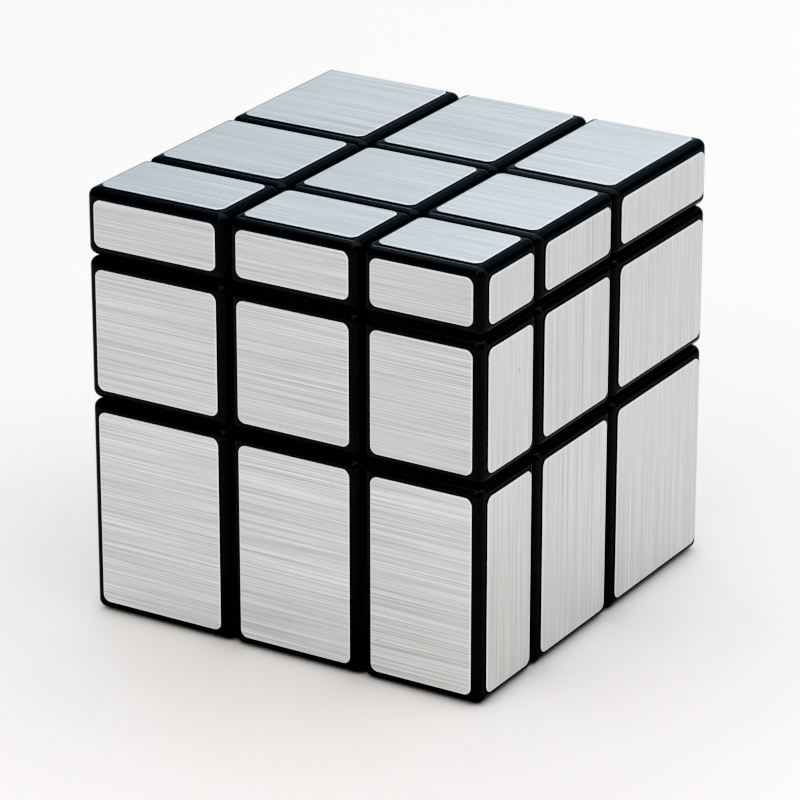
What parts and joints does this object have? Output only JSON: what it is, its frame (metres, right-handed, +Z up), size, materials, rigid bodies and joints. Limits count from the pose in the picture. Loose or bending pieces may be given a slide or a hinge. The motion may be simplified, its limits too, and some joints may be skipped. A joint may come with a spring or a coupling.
{
  "type": "twisty puzzle cube",
  "caption": "Cube puzzle with silver foil faces, cut into layers of unequal thickness that turn about a hidden off-centre core.",
  "frame": {"origin": "under the middle of the closed cube, on the surface that its bottom stickers rest on", "axes": "+Z up through the thin top layer, +X out of the right face (thinner side layer), +Y out of the back face (thick back layer)"},
  "size_m": [0.057, 0.057, 0.057],
  "materials": {
    "black_plastic": "glossy moulded, near black",
    "silver_foil": "brushed",
    "core_plastic": "moulded",
    "bright_steel": "plated"
  },
  "bodies": {
    "core": {"core": "core_plastic", "screw_washer_spring_sets": "bright_steel"},
    "top_front_right_corner": {"top_front_right_corner": "black_plastic", "top_front_right_corner_stickers": "silver_foil"},
    "top_front_edge": {"top_front_edge": "black_plastic", "top_front_edge_stickers": "silver_foil"},
    "top_front_left_corner": {"top_front_left_corner": "black_plastic", "top_front_left_corner_stickers": "silver_foil"},
    "top_right_edge": {"top_right_edge": "black_plastic", "top_right_edge_stickers": "silver_foil"},
    "top_centre": {"top_centre_housing": "black_plastic", "top_centre_cap": "black_plastic", "top_centre_sticker": "silver_foil"},
    "top_left_edge": {"top_left_edge": "black_plastic", "top_left_edge_stickers": "silver_foil"},
    "top_back_right_corner": {"top_back_right_corner": "black_plastic", "top_back_right_corner_stickers": "silver_foil"},
    "top_back_edge": {"top_back_edge": "black_plastic", "top_back_edge_stickers": "silver_foil"},
    "top_back_left_corner": {"top_back_left_corner": "black_plastic", "top_back_left_corner_stickers": "silver_foil"},
    "front_right_edge": {"front_right_edge": "black_plastic", "front_right_edge_stickers": "silver_foil"},
    "front_centre": {"front_centre_housing": "black_plastic", "front_centre_cap": "black_plastic", "front_centre_sticker": "silver_foil"},
    "front_left_edge": {"front_left_edge": "black_plastic", "front_left_edge_stickers": "silver_foil"},
    "right_centre": {"right_centre_housing": "black_plastic", "right_centre_cap": "black_plastic", "right_centre_sticker": "silver_foil"},
    "left_centre": {"left_centre_housing": "black_plastic", "left_centre_cap": "black_plastic", "left_centre_sticker": "silver_foil"},
    "back_right_edge": {"back_right_edge": "black_plastic", "back_right_edge_stickers": "silver_foil"},
    "back_centre": {"back_centre_housing": "black_plastic", "back_centre_cap": "black_plastic", "back_centre_sticker": "silver_foil"},
    "back_left_edge": {"back_left_edge": "black_plastic", "back_left_edge_stickers": "silver_foil"},
    "bottom_front_right_corner": {"bottom_front_right_corner": "black_plastic", "bottom_front_right_corner_stickers": "silver_foil"},
    "bottom_front_edge": {"bottom_front_edge": "black_plastic", "bottom_front_edge_stickers": "silver_foil"},
    "bottom_front_left_corner": {"bottom_front_left_corner": "black_plastic", "bottom_front_left_corner_stickers": "silver_foil"},
    "bottom_right_edge": {"bottom_right_edge": "black_plastic", "bottom_right_edge_stickers": "silver_foil"},
    "bottom_centre": {"bottom_centre_housing": "black_plastic", "bottom_centre_cap": "black_plastic", "bottom_centre_sticker": "silver_foil"},
    "bottom_left_edge": {"bottom_left_edge": "black_plastic", "bottom_left_edge_stickers": "silver_foil"},
    "bottom_back_right_corner": {"bottom_back_right_corner": "black_plastic", "bottom_back_right_corner_stickers": "silver_foil"},
    "bottom_back_edge": {"bottom_back_edge": "black_plastic", "bottom_back_edge_stickers": "silver_foil"},
    "bottom_back_left_corner": {"bottom_back_left_corner": "black_plastic", "bottom_back_left_corner_stickers": "silver_foil"}
  },
  "joints": [
    {"name": "top_turn", "type": "hinge", "parent": "core", "child": "top_centre", "pos_m": [0.0018, -0.0056, 0.0384], "axis": [0, 0, 1], "continuous": true},
    {"name": "bottom_turn", "type": "hinge", "parent": "core", "child": "bottom_centre", "pos_m": [0.0018, -0.0056, 0.0384], "axis": [0, 0, 1], "continuous": true},
    {"name": "front_turn", "type": "hinge", "parent": "core", "child": "front_centre", "pos_m": [0.0018, -0.0056, 0.0384], "axis": [0, 1, 0], "continuous": true},
    {"name": "back_turn", "type": "hinge", "parent": "core", "child": "back_centre", "pos_m": [0.0018, -0.0056, 0.0384], "axis": [0, 1, 0], "continuous": true},
    {"name": "right_turn", "type": "hinge", "parent": "core", "child": "right_centre", "pos_m": [0.0018, -0.0056, 0.0384], "axis": [1, 0, 0], "continuous": true},
    {"name": "left_turn", "type": "hinge", "parent": "core", "child": "left_centre", "pos_m": [0.0018, -0.0056, 0.0384], "axis": [1, 0, 0], "continuous": true},
    {"name": "top_front_edge_with_front", "type": "hinge", "parent": "top_centre", "child": "top_front_edge", "pos_m": [0.0018, -0.0056, 0.0384], "axis": [0, 1, 0], "continuous": true},
    {"name": "top_right_edge_with_top", "type": "hinge", "parent": "right_centre", "child": "top_right_edge", "pos_m": [0.0018, -0.0056, 0.0384], "axis": [0, 0, 1], "continuous": true},
    {"name": "top_left_edge_with_top", "type": "hinge", "parent": "left_centre", "child": "top_left_edge", "pos_m": [0.0018, -0.0056, 0.0384], "axis": [0, 0, 1], "continuous": true},
    {"name": "top_back_edge_with_back", "type": "hinge", "parent": "top_centre", "child": "top_back_edge", "pos_m": [0.0018, -0.0056, 0.0384], "axis": [0, 1, 0], "continuous": true},
    {"name": "front_right_edge_with_right", "type": "hinge", "parent": "front_centre", "child": "front_right_edge", "pos_m": [0.0018, -0.0056, 0.0384], "axis": [1, 0, 0], "continuous": true},
    {"name": "front_left_edge_with_left", "type": "hinge", "parent": "front_centre", "child": "front_left_edge", "pos_m": [0.0018, -0.0056, 0.0384], "axis": [1, 0, 0], "continuous": true},
    {"name": "back_right_edge_with_right", "type": "hinge", "parent": "back_centre", "child": "back_right_edge", "pos_m": [0.0018, -0.0056, 0.0384], "axis": [1, 0, 0], "continuous": true},
    {"name": "back_left_edge_with_left", "type": "hinge", "parent": "back_centre", "child": "back_left_edge", "pos_m": [0.0018, -0.0056, 0.0384], "axis": [1, 0, 0], "continuous": true},
    {"name": "bottom_front_edge_with_front", "type": "hinge", "parent": "bottom_centre", "child": "bottom_front_edge", "pos_m": [0.0018, -0.0056, 0.0384], "axis": [0, 1, 0], "continuous": true},
    {"name": "bottom_right_edge_with_bottom", "type": "hinge", "parent": "right_centre", "child": "bottom_right_edge", "pos_m": [0.0018, -0.0056, 0.0384], "axis": [0, 0, 1], "continuous": true},
    {"name": "bottom_left_edge_with_bottom", "type": "hinge", "parent": "left_centre", "child": "bottom_left_edge", "pos_m": [0.0018, -0.0056, 0.0384], "axis": [0, 0, 1], "continuous": true},
    {"name": "bottom_back_edge_with_back", "type": "hinge", "parent": "bottom_centre", "child": "bottom_back_edge", "pos_m": [0.0018, -0.0056, 0.0384], "axis": [0, 1, 0], "continuous": true},
    {"name": "top_front_right_corner_with_right", "type": "hinge", "parent": "top_front_edge", "child": "top_front_right_corner", "pos_m": [0.0018, -0.0056, 0.0384], "axis": [1, 0, 0], "continuous": true},
    {"name": "top_front_left_corner_with_left", "type": "hinge", "parent": "top_front_edge", "child": "top_front_left_corner", "pos_m": [0.0018, -0.0056, 0.0384], "axis": [1, 0, 0], "continuous": true},
    {"name": "top_back_right_corner_with_right", "type": "hinge", "parent": "top_back_edge", "child": "top_back_right_corner", "pos_m": [0.0018, -0.0056, 0.0384], "axis": [1, 0, 0], "continuous": true},
    {"name": "top_back_left_corner_with_left", "type": "hinge", "parent": "top_back_edge", "child": "top_back_left_corner", "pos_m": [0.0018, -0.0056, 0.0384], "axis": [1, 0, 0], "continuous": true},
    {"name": "bottom_front_right_corner_with_right", "type": "hinge", "parent": "bottom_front_edge", "child": "bottom_front_right_corner", "pos_m": [0.0018, -0.0056, 0.0384], "axis": [1, 0, 0], "continuous": true},
    {"name": "bottom_front_left_corner_with_left", "type": "hinge", "parent": "bottom_front_edge", "child": "bottom_front_left_corner", "pos_m": [0.0018, -0.0056, 0.0384], "axis": [1, 0, 0], "continuous": true},
    {"name": "bottom_back_right_corner_with_right", "type": "hinge", "parent": "bottom_back_edge", "child": "bottom_back_right_corner", "pos_m": [0.0018, -0.0056, 0.0384], "axis": [1, 0, 0], "continuous": true},
    {"name": "bottom_back_left_corner_with_left", "type": "hinge", "parent": "bottom_back_edge", "child": "bottom_back_left_corner", "pos_m": [0.0018, -0.0056, 0.0384], "axis": [1, 0, 0], "continuous": true}
  ],
  "couplings": [
    {"joint": "top_front_edge_with_front", "follows": "front_turn", "ratio": 1},
    {"joint": "top_right_edge_with_top", "follows": "top_turn", "ratio": 1},
    {"joint": "top_left_edge_with_top", "follows": "top_turn", "ratio": 1},
    {"joint": "top_back_edge_with_back", "follows": "back_turn", "ratio": 1},
    {"joint": "front_right_edge_with_right", "follows": "right_turn", "ratio": 1},
    {"joint": "front_left_edge_with_left", "follows": "left_turn", "ratio": 1},
    {"joint": "back_right_edge_with_right", "follows": "right_turn", "ratio": 1},
    {"joint": "back_left_edge_with_left", "follows": "left_turn", "ratio": 1},
    {"joint": "bottom_front_edge_with_front", "follows": "front_turn", "ratio": 1},
    {"joint": "bottom_right_edge_with_bottom", "follows": "bottom_turn", "ratio": 1},
    {"joint": "bottom_left_edge_with_bottom", "follows": "bottom_turn", "ratio": 1},
    {"joint": "bottom_back_edge_with_back", "follows": "back_turn", "ratio": 1},
    {"joint": "top_front_right_corner_with_right", "follows": "right_turn", "ratio": 1},
    {"joint": "top_front_left_corner_with_left", "follows": "left_turn", "ratio": 1},
    {"joint": "top_back_right_corner_with_right", "follows": "right_turn", "ratio": 1},
    {"joint": "top_back_left_corner_with_left", "follows": "left_turn", "ratio": 1},
    {"joint": "bottom_front_right_corner_with_right", "follows": "right_turn", "ratio": 1},
    {"joint": "bottom_front_left_corner_with_left", "follows": "left_turn", "ratio": 1},
    {"joint": "bottom_back_right_corner_with_right", "follows": "right_turn", "ratio": 1},
    {"joint": "bottom_back_left_corner_with_left", "follows": "left_turn", "ratio": 1}
  ]
}
